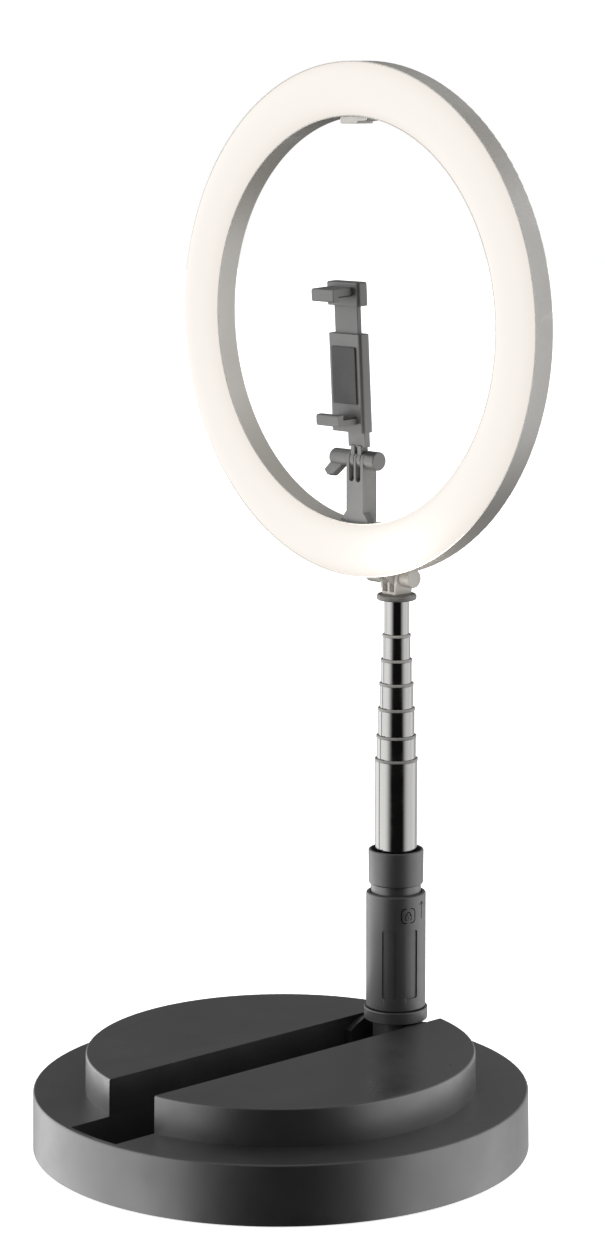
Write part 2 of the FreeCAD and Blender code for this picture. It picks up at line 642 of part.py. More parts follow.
def make_parts():
    os.makedirs("parts", exist_ok=True)
    save("base_shell", base_shell())
    save("deck_left", deck(-1))
    save("deck_right", deck(1))
    save("bottom_cover", bottom_cover())
    save("cover_screws", cover_screws())
    save("foot_ring", foot_ring())
    save("ballast_plates", ballast_plates())
    save("hinge_bracket", hinge_bracket())
    save("bracket_screws", bracket_screws())
    save("fold_axle", fold_axle())
    save("pole_foot", pole_foot())
    save("pole_collar", pole_collar())
    save("grip_sleeve", grip_sleeve())
    save("grip_spring", grip_spring())
    save("neck_bush", neck_bush())
    save("upper_sleeve", upper_sleeve())
    for stage in range(len(STAGE_TOPS) + 1):
        save("tube_%d" % (stage + 1), mast_tube(stage))
    for stage in range(len(STAGE_TOPS)):
        save("bush_%d" % (stage + 1), ring_bush(stage))
    save("mast_head", mast_head())
    save("tilt_bolt", hinge_bolt(POLE_Y, TILT_Z))
    save("tilt_nut", hinge_nut(POLE_Y, TILT_Z))
    save("tilt_knob", hinge_knob(POLE_Y, TILT_Z, -20))
    save("ring_housing", ring_housing())
    save("ring_screws", ring_screws())
    save("diffuser", diffuser())
    save("led_board", led_board())
    save("led_chips", led_chips())
    save("tilt_bracket", tilt_bracket())
    save("phone_arm", phone_arm())
    save("latch_tab", latch_tab())
    save("power_inlet", power_inlet())
    save("inlet_pin", inlet_pin())
    save("phone_bolt", hinge_bolt(ARM_HINGE_Y, ARM_HINGE_Z))
    save("phone_nut", hinge_nut(ARM_HINGE_Y, ARM_HINGE_Z))
    save("phone_knob", hinge_knob(ARM_HINGE_Y, ARM_HINGE_Z, 160))
    save("clamp_stem", lean(clamp_stem()))
    save("clamp_body", lean(clamp_body()))
    save("upper_jaw", lean(upper_jaw()))
    save("lower_pad", lean(jaw_pad(437.8, 438.6)))
    save("upper_pad", lean(jaw_pad(510.1, 510.9)))
    save("back_pad", lean(back_pad()))
    save("clamp_springs", [lean(spring) for spring in clamp_springs()])


make_parts()
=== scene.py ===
"""Looks for a fold-flat ring light: pieces, finishes and a plain studio, built round its CAD frame."""

import json
import math

import bmesh
import bpy
from mathutils import Matrix, Vector


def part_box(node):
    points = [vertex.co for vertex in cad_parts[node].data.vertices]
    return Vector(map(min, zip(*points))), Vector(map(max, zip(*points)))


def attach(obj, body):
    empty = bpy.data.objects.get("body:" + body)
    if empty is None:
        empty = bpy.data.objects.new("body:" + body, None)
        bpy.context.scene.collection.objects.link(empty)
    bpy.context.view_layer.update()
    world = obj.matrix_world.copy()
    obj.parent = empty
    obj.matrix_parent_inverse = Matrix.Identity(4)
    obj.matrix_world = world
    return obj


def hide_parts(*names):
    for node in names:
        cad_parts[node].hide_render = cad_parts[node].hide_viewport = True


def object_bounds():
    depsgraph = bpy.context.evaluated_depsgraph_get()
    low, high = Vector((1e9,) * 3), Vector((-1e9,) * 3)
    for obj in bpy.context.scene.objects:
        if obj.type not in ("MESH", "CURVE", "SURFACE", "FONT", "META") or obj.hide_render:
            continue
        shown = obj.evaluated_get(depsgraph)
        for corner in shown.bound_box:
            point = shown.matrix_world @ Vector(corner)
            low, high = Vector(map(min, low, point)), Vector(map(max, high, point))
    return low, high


bl_info = {
    "name": "Ring Light Looks",
    "version": (1, 0, 0),
    "blender": (4, 5, 0),
    "location": "View3D > Sidebar > Ring Light",
    "description": "Builds the visible pieces and finishes of a fold-flat ring light",
    "category": "Object",
}

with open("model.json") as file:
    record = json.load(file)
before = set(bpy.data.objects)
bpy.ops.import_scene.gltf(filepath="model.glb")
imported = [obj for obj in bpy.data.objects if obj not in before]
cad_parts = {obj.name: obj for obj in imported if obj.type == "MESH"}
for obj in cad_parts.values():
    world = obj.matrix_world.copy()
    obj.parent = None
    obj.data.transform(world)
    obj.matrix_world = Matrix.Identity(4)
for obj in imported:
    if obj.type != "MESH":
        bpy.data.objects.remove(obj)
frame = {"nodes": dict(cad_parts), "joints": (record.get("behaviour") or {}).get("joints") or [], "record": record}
CAD_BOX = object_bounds()
MM = 0.001


# ---- places read from the frame -----------------------------------------
def joint_point(name):
    """Where a joint's axis passes, in metres."""
    for joint in frame["joints"]:
        if joint["name"] == name:
            return Vector(joint["pos_m"])
    raise RuntimeError("the frame has no joint named " + name)


def middle(node):
    """The middle of a CAD node's box."""
    low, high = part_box(node)
    return (low + high) / 2


TILT_AXIS = joint_point("ring_tilt")
RING_MID = middle("ring_housing")
BODY_OF = {node: body for body, nodes in frame["record"]["behaviour"]["bodies"].items()
           for node in nodes}

# ---- sizes of details that only the looks have --------------------------
DIFFUSER_BAND = 30.6 * MM   # width of the diffuser, from its inner to its outer edge
SHADED_DISC_HEIGHT = 3.8 * MM         # height of the disc on top of the mast, whose plastic is painted darker as painted shade
LINE_WIDTH = 0.9 * MM       # of the pictograms on the grip
LINE_SINK = 0.33 * MM       # how far the middle of a line lies under the grip's surface
PADLOCK_PLACE = (71.4, 128.2 * MM)   # degrees round the grip from the front, and height
ARROW_PLACE = (104.4, 130.5 * MM)


# ---- node trees ---------------------------------------------------------
FLAT_POINTINESS = 0.505
EDGE_POINTINESS = 0.56


class Shader:
    """A short way to write a material's node tree."""

    def __init__(self, name):
        self.material = bpy.data.materials.new(name)
        self.material.use_nodes = True
        self.tree = self.material.node_tree
        self.surface = self.tree.nodes["Principled BSDF"]
        self.place = self.add("ShaderNodeTexCoord").outputs["Object"]

    def add(self, kind, inputs=None, **settings):
        """A new node with these settings. Its inputs take numbers, colours or other sockets."""
        node = self.tree.nodes.new(kind)
        for key, value in settings.items():
            setattr(node, key, value)
        for key, value in (inputs or {}).items():
            self.put(node.inputs[key], value)
        return node

    def put(self, socket, value):
        """Links a socket to the input, or sets the input's own value."""
        if isinstance(value, bpy.types.NodeSocket):
            self.tree.links.new(value, socket)
        else:
            socket.default_value = value

    def set(self, **inputs):
        """Sets inputs of the surface shader, with _ for the spaces in their names."""
        for key, value in inputs.items():
            self.put(self.surface.inputs[key.replace("_", " ")], value)

    def stretched(self, scale):
        """Object coordinates drawn out along the axes that have a small scale."""
        return self.add("ShaderNodeMapping", {"Vector": self.place, "Scale": scale}).outputs[0]

    def noise(self, size, detail=2.0, rough=0.5, place=None):
        """Noise whose features are about this many metres across."""
        node = self.add("ShaderNodeTexNoise", {
            "Vector": place or self.place, "Scale": 1.0 / size, "Detail": detail, "Roughness": rough})
        return node.outputs["Fac"]

    def cells(self, size):
        """Distance to the nearest of many grains about this many metres apart."""
        node = self.add("ShaderNodeTexVoronoi", {"Vector": self.place, "Scale": 1.0 / size},
                        feature="F1")
        return node.outputs["Distance"]

    def spread(self, value, low, high, from_low=0.0, from_high=1.0):
        """Maps a value from one range to another, and clips it there."""
        node = self.add("ShaderNodeMapRange", {
            "Value": value, "From Min": from_low, "From Max": from_high,
            "To Min": low, "To Max": high})
        return node.outputs["Result"]

    def math(self, operation, a, b=0.0):
        """A sum, product or other working of one or two values."""
        return self.add("ShaderNodeMath", {0: a, 1: b}, operation=operation).outputs[0]

    def mix(self, factor, first, second):
        """The first colour at factor 0, the second at 1."""
        node = self.add("ShaderNodeMix", data_type="RGBA", blend_type="MIX")
        self.put(node.inputs["Factor"], factor)
        self.put(node.inputs["A"], first)
        self.put(node.inputs["B"], second)
        return node.outputs["Result"]

    def convex_edges(self):
        """1 on convex edges, 0 on flats."""
        point = self.add("ShaderNodeNewGeometry").outputs["Pointiness"]
        return self.spread(point, 0.0, 1.0, FLAT_POINTINESS, EDGE_POINTINESS)

    def bump(self, height, distance, strength=1.0, under=None):
        """A bumped normal. distance is the relief in metres, under a normal that it adds to."""
        inputs = {"Height": height, "Distance": distance, "Strength": strength}
        if under is not None:
            inputs["Normal"] = under
        return self.add("ShaderNodeBump", inputs).outputs["Normal"]


def shade(colour, factor):
    """The colour made darker or lighter."""
    return tuple(min(1.0, c * factor) for c in colour[:3]) + (1.0,)


def moulded_plastic(name, colour, roughness, grain=0.32 * MM, depth=0.012 * MM, mottle=0.05,
                    edge=0.25, specular=0.5, low=None):
    """Moulded plastic with a spark-eroded grain and faint mottling. Convex edges are painted lighter, a painted
    highlight broken up like rubbed wear; edge sets how strongly.

    low is (height, colour): below that height the plastic is painted the second colour; on the mast head this is
    painted shade.
    """
    s = Shader(name)
    cloud = s.noise(26 * MM, 3.0)
    base = s.mix(cloud, shade(colour, 1 - mottle), shade(colour, 1 + mottle))
    if low is not None:
        # Below the given height a second colour is painted: on the mast head, painted shade on its disc.
        height = s.add("ShaderNodeSeparateXYZ", {"Vector": s.place}).outputs["Z"]
        base = s.mix(s.spread(height, 0.0, 1.0, low[0], low[0] + 0.5 * MM), low[1], base)
    speck = s.noise(0.5 * MM, 1.0)
    base = s.mix(s.spread(speck, 0.0, 0.35, 0.55, 0.8), base, shade(colour, 1.5))
    # Convex edges painted lighter: a painted highlight, broken up by noise like rubbed wear.
    highlight_and_rub = s.math("MULTIPLY", s.convex_edges(), s.noise(3 * MM, 3.0))
    base = s.mix(s.math("MULTIPLY", highlight_and_rub, edge), base, shade(colour, 2.4))
    handled = s.noise(40 * MM, 4.0, 0.6)
    rough = s.spread(handled, roughness - 0.06, roughness + 0.06, 0.3, 0.7)
    rough = s.math("SUBTRACT", rough, s.math("MULTIPLY", s.convex_edges(), 0.08))
    fine = s.bump(s.cells(grain), depth, 0.6)
    wide = s.bump(s.noise(9 * MM, 2.0), 0.03 * MM, 0.35, fine)
    s.set(Base_Color=base, Roughness=rough, Normal=wide, Specular_IOR_Level=specular)
    return s.material


def dark_chrome(name, colour, roughness):
    """Polished plated tube: drawn lines along it, hairline scratches round it and faint smudges."""
    s = Shader(name)
    drawn = s.noise(0.22 * MM, 2.0, 0.5, s.stretched((1.0, 1.0, 0.015)))
    rings = s.noise(0.5 * MM, 3.0, 0.6, s.stretched((0.04, 0.04, 1.0)))
    smudge = s.noise(14 * MM, 4.0, 0.65)
    base = s.mix(smudge, shade(colour, 0.93), shade(colour, 1.07))
    rough = s.spread(smudge, roughness * 0.6, roughness * 1.9, 0.35, 0.7)
    lines = s.math("ADD", drawn, s.math("MULTIPLY", rings, 0.5))
    s.set(Base_Color=base, Roughness=rough, Metallic=1.0, Normal=s.bump(lines, 0.002 * MM, 0.35))
    return s.material


def plain_steel(name, colour, roughness, streak=(1.0, 1.0, 1.0)):
    """Bare or zinc-plated steel with uneven oxide and tool marks."""
    s = Shader(name)
    patch = s.noise(5 * MM, 4.0, 0.6)
    marks = s.noise(0.3 * MM, 3.0, 0.6, s.stretched(streak))
    base = s.mix(patch, shade(colour, 0.82), shade(colour, 1.12))
    rough = s.spread(patch, roughness - 0.08, roughness + 0.1, 0.3, 0.7)
    s.set(Base_Color=base, Roughness=rough, Metallic=1.0, Normal=s.bump(marks, 0.006 * MM, 0.5))
    return s.material


def rubber(name, colour):
    """Matt rubber with a fine crumb and a dusty bloom on its edges."""
    s = Shader(name)
    bloom = s.math("MULTIPLY", s.convex_edges(), 0.3)
    base = s.mix(bloom, shade(colour, 1.0), shade(colour, 3.0))
    crumb = s.bump(s.noise(0.25 * MM, 3.0, 0.7), 0.03 * MM, 0.7)
    s.set(Base_Color=base, Roughness=s.spread(s.noise(6 * MM), 0.78, 0.92), Normal=crumb)
    return s.material


def lit_diffuser(name, glow, power):
    """Milky acrylic lit from behind: brightest over the row of lamps, a touch warmer at its edges."""
    s = Shader(name)
    split = s.add("ShaderNodeSeparateXYZ", {"Vector": s.place})
    across = split.outputs["X"]
    up = s.math("SUBTRACT", split.outputs["Z"], RING_MID.z)
    radius = s.math("SQRT", s.math("ADD", s.math("MULTIPLY", across, across),
                                   s.math("MULTIPLY", up, up)))
    low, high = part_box("diffuser")
    outer = (high.x - low.x) / 2
    band = DIFFUSER_BAND / 2
    off = s.math("ABSOLUTE", s.math("SUBTRACT", radius, outer - band))
    rim = s.spread(off, 0.0, 1.0, band * 0.45, band)
    rim = s.math("POWER", rim, 2.0)
    warm = s.mix(rim, shade(glow, 1.0), (glow[0] * 0.93, glow[1] * 0.92, glow[2] * 0.91, 1.0))
    haze = s.noise(60 * MM, 2.0)
    warm = s.mix(s.math("MULTIPLY", haze, 0.02), warm, shade(glow, 0.9))
    fine = s.bump(s.noise(0.35 * MM, 2.0), 0.004 * MM, 0.4)
    s.set(Base_Color=(0.03, 0.03, 0.029, 1), Roughness=s.spread(haze, 0.55, 0.65), Normal=fine,
          Emission_Color=warm, Emission_Strength=power, Specular_IOR_Level=0.05)
    return s.material


def circuit_board(name):
    """White solder mask over copper, with a faint print-through of the tracks."""
    s = Shader(name)
    tracks = s.spread(s.cells(2.2 * MM), 0.0, 1.0, 0.2, 0.3)
    base = s.mix(tracks, (0.86, 0.86, 0.82, 1), (0.78, 0.79, 0.76, 1))
    s.set(Base_Color=base, Roughness=s.spread(s.noise(3 * MM), 0.3, 0.42),
          Normal=s.bump(tracks, 0.02 * MM, 0.5))
    return s.material


def phosphor(name, glow, power):
    """The yellow phosphor of a white lamp chip."""
    s = Shader(name)
    grain = s.noise(0.4 * MM, 2.0)
    base = s.mix(grain, (0.9, 0.72, 0.3, 1), (0.95, 0.82, 0.42, 1))
    s.set(Base_Color=base, Roughness=s.spread(grain, 0.3, 0.45), Emission_Color=glow,
          Emission_Strength=power)
    return s.material


# ---- mesh work ----------------------------------------------------------
CLEAN_GAP = 0.002 * MM      # corners closer than this are one corner
FLAT_ANGLE = math.radians(0.05)   # faces that meet at less than this are one face


def show(name, data):
    """Puts a mesh, curve, light or camera in the scene."""
    piece = bpy.data.objects.new(name, data)
    bpy.context.scene.collection.objects.link(piece)
    return piece


def evaluated_mesh(piece):
    """The mesh that a piece or curve has with its modifiers or bevel applied."""
    graph = bpy.context.evaluated_depsgraph_get()
    graph.update()
    return bpy.data.meshes.new_from_object(piece.evaluated_get(graph))


def apply_modifiers(piece):
    """Makes the shape that the modifiers give the piece's own mesh."""
    mesh = evaluated_mesh(piece)
    mesh.name = piece.name
    piece.modifiers.clear()
    piece.data = mesh
    return mesh


def finished(piece, crease):
    """Applies the modifiers and shades the mesh smooth, but for edges sharper than crease."""
    mesh = apply_modifiers(piece)
    mesh.shade_smooth()
    mesh.set_sharp_from_angle(angle=math.radians(crease))
    even = piece.modifiers.new("even_shading", "WEIGHTED_NORMAL")
    even.keep_sharp = True
    apply_modifiers(piece)
    return piece


def rounded(name, node, width, crease, limit):
    """A copy of a CAD node's mesh, cleaned, with its hard edges rounded by width metres."""
    mesh = bpy.data.meshes.new(name)
    source = bmesh.new()
    source.from_mesh(frame["nodes"][node].data)
    bmesh.ops.remove_doubles(source, verts=source.verts, dist=CLEAN_GAP)
    bmesh.ops.dissolve_limit(source, angle_limit=FLAT_ANGLE, verts=source.verts,
                             edges=source.edges)
    source.to_mesh(mesh)
    source.free()
    piece = show(name, mesh)
    bevel = piece.modifiers.new("rounding", "BEVEL")
    bevel.width = width
    bevel.segments = 2
    bevel.limit_method = "ANGLE"
    bevel.angle_limit = math.radians(limit)
    bevel.miter_outer = "MITER_ARC"
    return finished(piece, crease)


def paint(piece, material):
    """Gives a piece one finish all over."""
    piece.data.materials.clear()
    piece.data.materials.append(material)
    return piece


def fit(piece, node, material):
    """Paints a piece and fixes it to the body of a CAD node."""
    paint(piece, material)
    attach(piece, BODY_OF[node])
    return piece


def engraved(name, node, strokes, degrees, height, material):
    """Lines on a round upright node, in the given material (for the pictograms a near-black painted shade), in
    strokes of (points in mm, closed) about a middle.

    The middle stands this many degrees round from the node's front, at this height in metres.
    """
    low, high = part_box(node)
    centre = (low + high) / 2
    surface = (high.x - low.x) / 2 - LINE_SINK
    data = bpy.data.curves.new(name, "CURVE")
    data.dimensions = "3D"
    data.bevel_depth = LINE_WIDTH / 2
    data.bevel_resolution = 3
    data.use_fill_caps = True
    for points, closed in strokes:
        spline = data.splines.new("POLY")
        spline.points.add(len(points) - 1)
        spline.use_cyclic_u = closed
        for target, (across, up) in zip(spline.points, points):
            turn = math.radians(degrees) + across * MM / surface
            target.co = (centre.x + surface * math.sin(turn), centre.y - surface * math.cos(turn),
                         height + up * MM, 1.0)
    curve = show(name, data)
    mesh = evaluated_mesh(curve)
    bpy.data.objects.remove(curve)
    mesh.shade_smooth()
    return fit(show(name, mesh), node, material)


def arc(x, y, radius, start, end, steps=10):
    """Points on an arc, from start to end in degrees."""
    turns = [math.radians(start + (end - start) * i / steps) for i in range(steps + 1)]
    return [(x + radius * math.cos(turn), y + radius * math.sin(turn)) for turn in turns]


def rounded_square(half, corner):
    """The closed outline of a square with round corners."""
    inner = half - corner
    return (arc(inner, inner, corner, 0, 90) + arc(-inner, inner, corner, 90, 180)
            + arc(-inner, -inner, corner, 180, 270) + arc(inner, -inner, corner, 270, 360))


def repaint(node, material):
    """Gives a CAD node that keeps its own shape a finish."""
    target = frame["nodes"][node]
    while len(target.material_slots) > 1:
        target.data.materials.pop()
    if target.material_slots:
        target.material_slots[0].material = material
    else:
        target.data.materials.append(material)
    return target


def ease(node, width, material, crease=50.0, limit=28.0):
    """Replaces a CAD node by its rounded copy. crease and limit are angles in degrees."""
    piece = rounded(node + "_skin", node, width, crease, limit)
    fit(piece, node, material)
    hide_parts(node)
    return piece


# ---- pictograms: strokes of (points in mm, closed) about their middle ----
PADLOCK = [(rounded_square(4.5, 2.4), True),
           ([(-1.9, -2.5), (1.9, -2.5), (1.9, 0.2), (-1.9, 0.2)], True),
           ([(-1.2, 0.2)] + arc(0, 1.1, 1.2, 180, 0) + [(1.2, 0.2)], False),
           ([(0, -1.5), (0, -0.9)], False)]
ARROW = [([(0, -5.5), (0, 5.3)], False), ([(-1.8, 3.4), (0, 5.4), (1.8, 3.4)], False)]


# ---- settings -----------------------------------------------------------
def colour_setting(name, description, default):
    """A colour that the sidebar shows."""
    return bpy.props.FloatVectorProperty(name=name, description=description, default=default,
                                         size=4, min=0.0, max=1.0, subtype="COLOR")


def length_setting(name, description, default):
    """A length in metres that the sidebar shows."""
    return bpy.props.FloatProperty(name=name, description=description, default=default, min=0.0,
                                   unit="LENGTH", subtype="DISTANCE", precision=5)


class BaseLook(bpy.types.PropertyGroup):
    casing: colour_setting("Casing", "Colour of the base casing", (0.013, 0.013, 0.0135, 1))
    cover: colour_setting("Cover", "Colour of the cover under the base", (0.03, 0.03, 0.031, 1))
    edge: length_setting("Edge", "Rounding of the casing's edges", 0.5 * MM)


class PoleLook(bpy.types.PropertyGroup):
    plastic: colour_setting("Plastic", "Colour of the grip, sleeve and foot",
                            (0.026, 0.026, 0.027, 1))
    chrome: colour_setting("Tube", "Colour of the plated tubes", (0.2, 0.198, 0.196, 1))
    bush: colour_setting("Bush", "Colour of the rings on the tubes", (0.12, 0.12, 0.118, 1))


class LampLook(bpy.types.PropertyGroup):
    housing: colour_setting("Housing", "Colour of the ring's housing", (0.235, 0.222, 0.2, 1))
    glow: colour_setting("Glow", "Colour of the lit diffuser", (1.0, 0.948, 0.888, 1))
    power: bpy.props.FloatProperty(name="Power", description="Brightness of the lit diffuser",
                                   default=0.91, min=0.0, max=20.0)


class ClampLook(bpy.types.PropertyGroup):
    plastic: colour_setting("Plastic", "Colour of the phone hinge and the phone clamp",
                            (0.05, 0.05, 0.049, 1))
    hinge: colour_setting("Hinge", "Colour of the tilt hinge", (0.2, 0.192, 0.18, 1))
    pad: colour_setting("Pad", "Colour of the rubber pads", (0.03, 0.03, 0.03, 1))
    edge: length_setting("Edge", "Rounding of the small parts' edges", 0.35 * MM)


class StageLook(bpy.types.PropertyGroup):
    floor: colour_setting("Floor", "Colour of the floor", (0.9, 0.9, 0.9, 1))
    span: length_setting("Span", "Width of the floor", 14.0)


def look(context, name):
    """The settings of one group of pieces."""
    return getattr(context.scene, "ring_light_" + name)


# ---- operators ----------------------------------------------------------
class RINGLIGHT_OT_base(bpy.types.Operator):
    """Build the weighted base: casing, cover, foot ring, ballast and the hinge bracket"""

    bl_idname = "ringlight.base"
    bl_label = "Base"

    def execute(self, context):
        own = look(context, "base")
        casing = moulded_plastic("charcoal_casing", own.casing, 0.4, specular=1.0)
        cover = moulded_plastic("black_cover", own.cover, 0.5)
        zinc = plain_steel("zinc_screws", (0.6, 0.6, 0.58), 0.3)
        ground = plain_steel("ground_axle", (0.62, 0.62, 0.63), 0.22, (0.05, 1, 1))
        slab = plain_steel("raw_ballast", (0.3, 0.29, 0.28), 0.5)
        feet = rubber("foot_rubber", (0.025, 0.025, 0.025))
        for node in ("base_shell", "deck_left", "deck_right"):
            ease(node, own.edge, casing)
        ease("bottom_cover", 0.3 * MM, cover)
        ease("hinge_bracket", 0.4 * MM, casing)
        ease("foot_ring", 0.3 * MM, feet)
        ease("fold_axle", 0.4 * MM, ground)
        ease("ballast_plates", 0.6 * MM, slab)
        ease("cover_screws", 0.3 * MM, zinc)
        repaint("bracket_screws", zinc)
        return {"FINISHED"}


class RINGLIGHT_OT_pole(bpy.types.Operator):
    """Build the lower pole: foot, collar, grip, neck and upper sleeve"""

    bl_idname = "ringlight.pole"
    bl_label = "Pole"

    def execute(self, context):
        own = look(context, "pole")
        plastic = moulded_plastic("charcoal_pole", own.plastic, 0.42, specular=0.7)
        soft = moulded_plastic("soft_grip", own.plastic, 0.46, grain=0.28 * MM, specular=0.7)
        wire = plain_steel("spring_wire", (0.5, 0.5, 0.5), 0.25)
        ease("pole_foot", 0.4 * MM, plastic)
        ease("pole_collar", 0.3 * MM, plastic)
        ease("grip_sleeve", 0.25 * MM, soft)
        # The pictogram lines are painted near black: painted shade standing in for the shadow inside incised
        # grooves.
        groove_shade = moulded_plastic("groove_shade_lines", (0.001, 0.001, 0.001, 1), 0.9, edge=0.0, specular=0.0)
        engraved("grip_padlock", "grip_sleeve", PADLOCK, *PADLOCK_PLACE, groove_shade)
        engraved("grip_arrow", "grip_sleeve", ARROW, *ARROW_PLACE, groove_shade)
        ease("neck_bush", 0.4 * MM, plastic)
        ease("upper_sleeve", 0.4 * MM, soft)
        repaint("grip_spring", wire)
        return {"FINISHED"}


class RINGLIGHT_OT_mast(bpy.types.Operator):
    """Build the telescopic tubes and the rings on their mouths"""

    bl_idname = "ringlight.mast"
    bl_label = "Mast"

    def execute(self, context):
        own = look(context, "pole")
        chrome = dark_chrome("dark_chrome", own.chrome, 0.13)
        ring = moulded_plastic("grey_bush", own.bush, 0.4, depth=0.005 * MM)
        tubes = sorted(node for node in frame["nodes"] if node.startswith("tube_"))
        bushes = sorted(node for node in frame["nodes"] if node.startswith("bush_"))
        for node in tubes:
            ease(node, 0.08 * MM, chrome, crease=35.0, limit=35.0)
        for node in bushes:
            ease(node, 0.25 * MM, ring)
        return {"FINISHED"}


class RINGLIGHT_OT_hinges(bpy.types.Operator):
    """Build both finger hinges, with their bolts, nuts and clamping knobs"""

    bl_idname = "ringlight.hinges"
    bl_label = "Hinges"

    def execute(self, context):
        own = look(context, "clamp")
        plastic = moulded_plastic("grey_hinge", own.plastic, 0.42, grain=0.25 * MM)
        steel = plain_steel("bolt_steel", (0.55, 0.55, 0.55), 0.28, (0.05, 1, 1))
        pale = moulded_plastic("pale_hinge", own.hinge, 0.42, grain=0.25 * MM)
        for node in ("phone_arm", "phone_nut", "phone_knob"):
            ease(node, own.edge, plastic)
        for node in ("tilt_bracket", "tilt_nut", "tilt_knob"):
            ease(node, own.edge, pale)
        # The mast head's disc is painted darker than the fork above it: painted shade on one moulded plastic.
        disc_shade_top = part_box("tube_7")[1].z + SHADED_DISC_HEIGHT
        ease("mast_head", own.edge, moulded_plastic("mast_head", own.hinge, 0.42, grain=0.25 * MM,
                                                    low=(disc_shade_top, shade(own.plastic, 0.6))))
        for node in ("tilt_bolt", "phone_bolt"):
            ease(node, 0.3 * MM, steel)
        return {"FINISHED"}


class RINGLIGHT_OT_lamp(bpy.types.Operator):
    """Build the ring lamp: housing, diffuser, circuit board, chips, screws, latch and socket"""

    bl_idname = "ringlight.lamp"
    bl_label = "Lamp"

    def execute(self, context):
        own = look(context, "lamp")
        housing = moulded_plastic("warm_grey_housing", own.housing, 0.38, grain=0.3 * MM,
                                  depth=0.008 * MM, specular=1.0)
        glow = lit_diffuser("lit_diffuser", own.glow, own.power)
        zinc = plain_steel("zinc_ring_screws", (0.6, 0.6, 0.58), 0.3)
        ease("ring_housing", 0.25 * MM, housing)
        ease("latch_tab", 0.3 * MM, housing)
        ease("power_inlet", 0.3 * MM, housing)
        ease("diffuser", 0.15 * MM, glow)
        ease("ring_screws", 0.3 * MM, zinc)
        repaint("inlet_pin", zinc)
        repaint("led_board", circuit_board("white_board"))
        repaint("led_chips", phosphor("lamp_chips", own.glow, 2.0))
        return {"FINISHED"}


class RINGLIGHT_OT_clamp(bpy.types.Operator):
    """Build the phone clamp: stem, housing, sliding jaw, pads and springs"""

    bl_idname = "ringlight.clamp"
    bl_label = "Phone clamp"

    def execute(self, context):
        own = look(context, "clamp")
        plastic = moulded_plastic("grey_clamp", own.plastic, 0.42, grain=0.25 * MM)
        pad = rubber("pad_rubber", own.pad)
        wire = plain_steel("clamp_wire", (0.5, 0.5, 0.5), 0.25)
        for node in ("clamp_stem", "clamp_body", "upper_jaw"):
            ease(node, own.edge, plastic)
        for node in ("lower_pad", "upper_pad", "back_pad"):
            ease(node, 0.2 * MM, pad)
        repaint("clamp_springs", wire)
        return {"FINISHED"}


class RINGLIGHT_OT_stage(bpy.types.Operator):
    """Set up the pale floor, the soft lights, the background and the camera"""

    bl_idname = "ringlight.stage"
    bl_label = "Stage"

    def execute(self, context):
        own = look(context, "stage")
        scene = context.scene
        scene.view_settings.view_transform = "Standard"
        make_floor(own)
        make_background(scene)
        make_glow()
        make_camera(scene)
        return {"FINISHED"}


# ---- stage --------------------------------------------------------------
PANEL_TOP = (0.45, 0.85)    # sine of the height where the tall lights start and end fading
# degrees round from the camera, half width at full power, half width in all, power
TALL_SOFTBOXES = ((-98.0, 22.0, 72.0, 3.3), (85.0, 5.0, 53.0, 2.5), (137.0, 8.0, 42.0, 0.9),
                  (180.0, 10.0, 60.0, 0.15))
TOP_SOFTBOX = (0.4, 0.95, 0.5)   # sine of the height where it starts and is full, power
STRAY_LIGHT = 0.02
BACKDROP = 1.0
FLOOR_GLOW = 0.72
WHITE = (1.0, 1.0, 1.0, 1.0)
GLOW_COLOUR = (1.0, 0.95, 0.88)
GLOW_POWER = 0.75
GLOW_SIZE = 30 * MM
GLOW_OFFSET = Vector((50, -20, 15)) * MM   # from the tilt hinge, in front of the diffuser
CAMERA_PLACE = Vector((1.40235, -1.24508, 0.63521))
CAMERA_TURN = math.radians(48.4)
CAMERA_YAW = math.radians(0.423)
CAMERA_PITCH = math.radians(9.692)
CAMERA_ROLL = math.radians(-0.142)
CAMERA_LENS = 92.02         # mm
SENSOR_WIDTH = 36.0         # mm
FAR_CLIP = 50.0             # metres


def make_camera(scene):
    """The camera that sees the object from in front, to its left side and from a little above."""
    forward = Vector((math.sin(CAMERA_YAW) * math.cos(CAMERA_PITCH),
                      math.cos(CAMERA_YAW) * math.cos(CAMERA_PITCH), -math.sin(CAMERA_PITCH)))
    right = Vector((math.cos(CAMERA_YAW), -math.sin(CAMERA_YAW), 0))
    up = right.cross(forward)
    across = math.cos(CAMERA_ROLL) * right + math.sin(CAMERA_ROLL) * up
    upright = -math.sin(CAMERA_ROLL) * right + math.cos(CAMERA_ROLL) * up
    turn = Matrix.Rotation(CAMERA_TURN, 3, "Z")
    axes = Matrix((turn @ across, turn @ upright, turn @ -forward)).transposed()
    data = bpy.data.cameras.new("studio_camera")
    data.lens = CAMERA_LENS
    data.sensor_width = SENSOR_WIDTH
    data.clip_end = FAR_CLIP
    camera = show("studio_camera", data)
    camera.matrix_world = Matrix.Translation(CAMERA_PLACE) @ axes.to_4x4()
    scene.camera = camera


def around_camera(degrees):
    """The level direction that stands this far round from the camera, to the right if positive."""
    turn = CAMERA_TURN + math.radians(degrees)
    return (math.sin(turn), -math.cos(turn), 0.0)


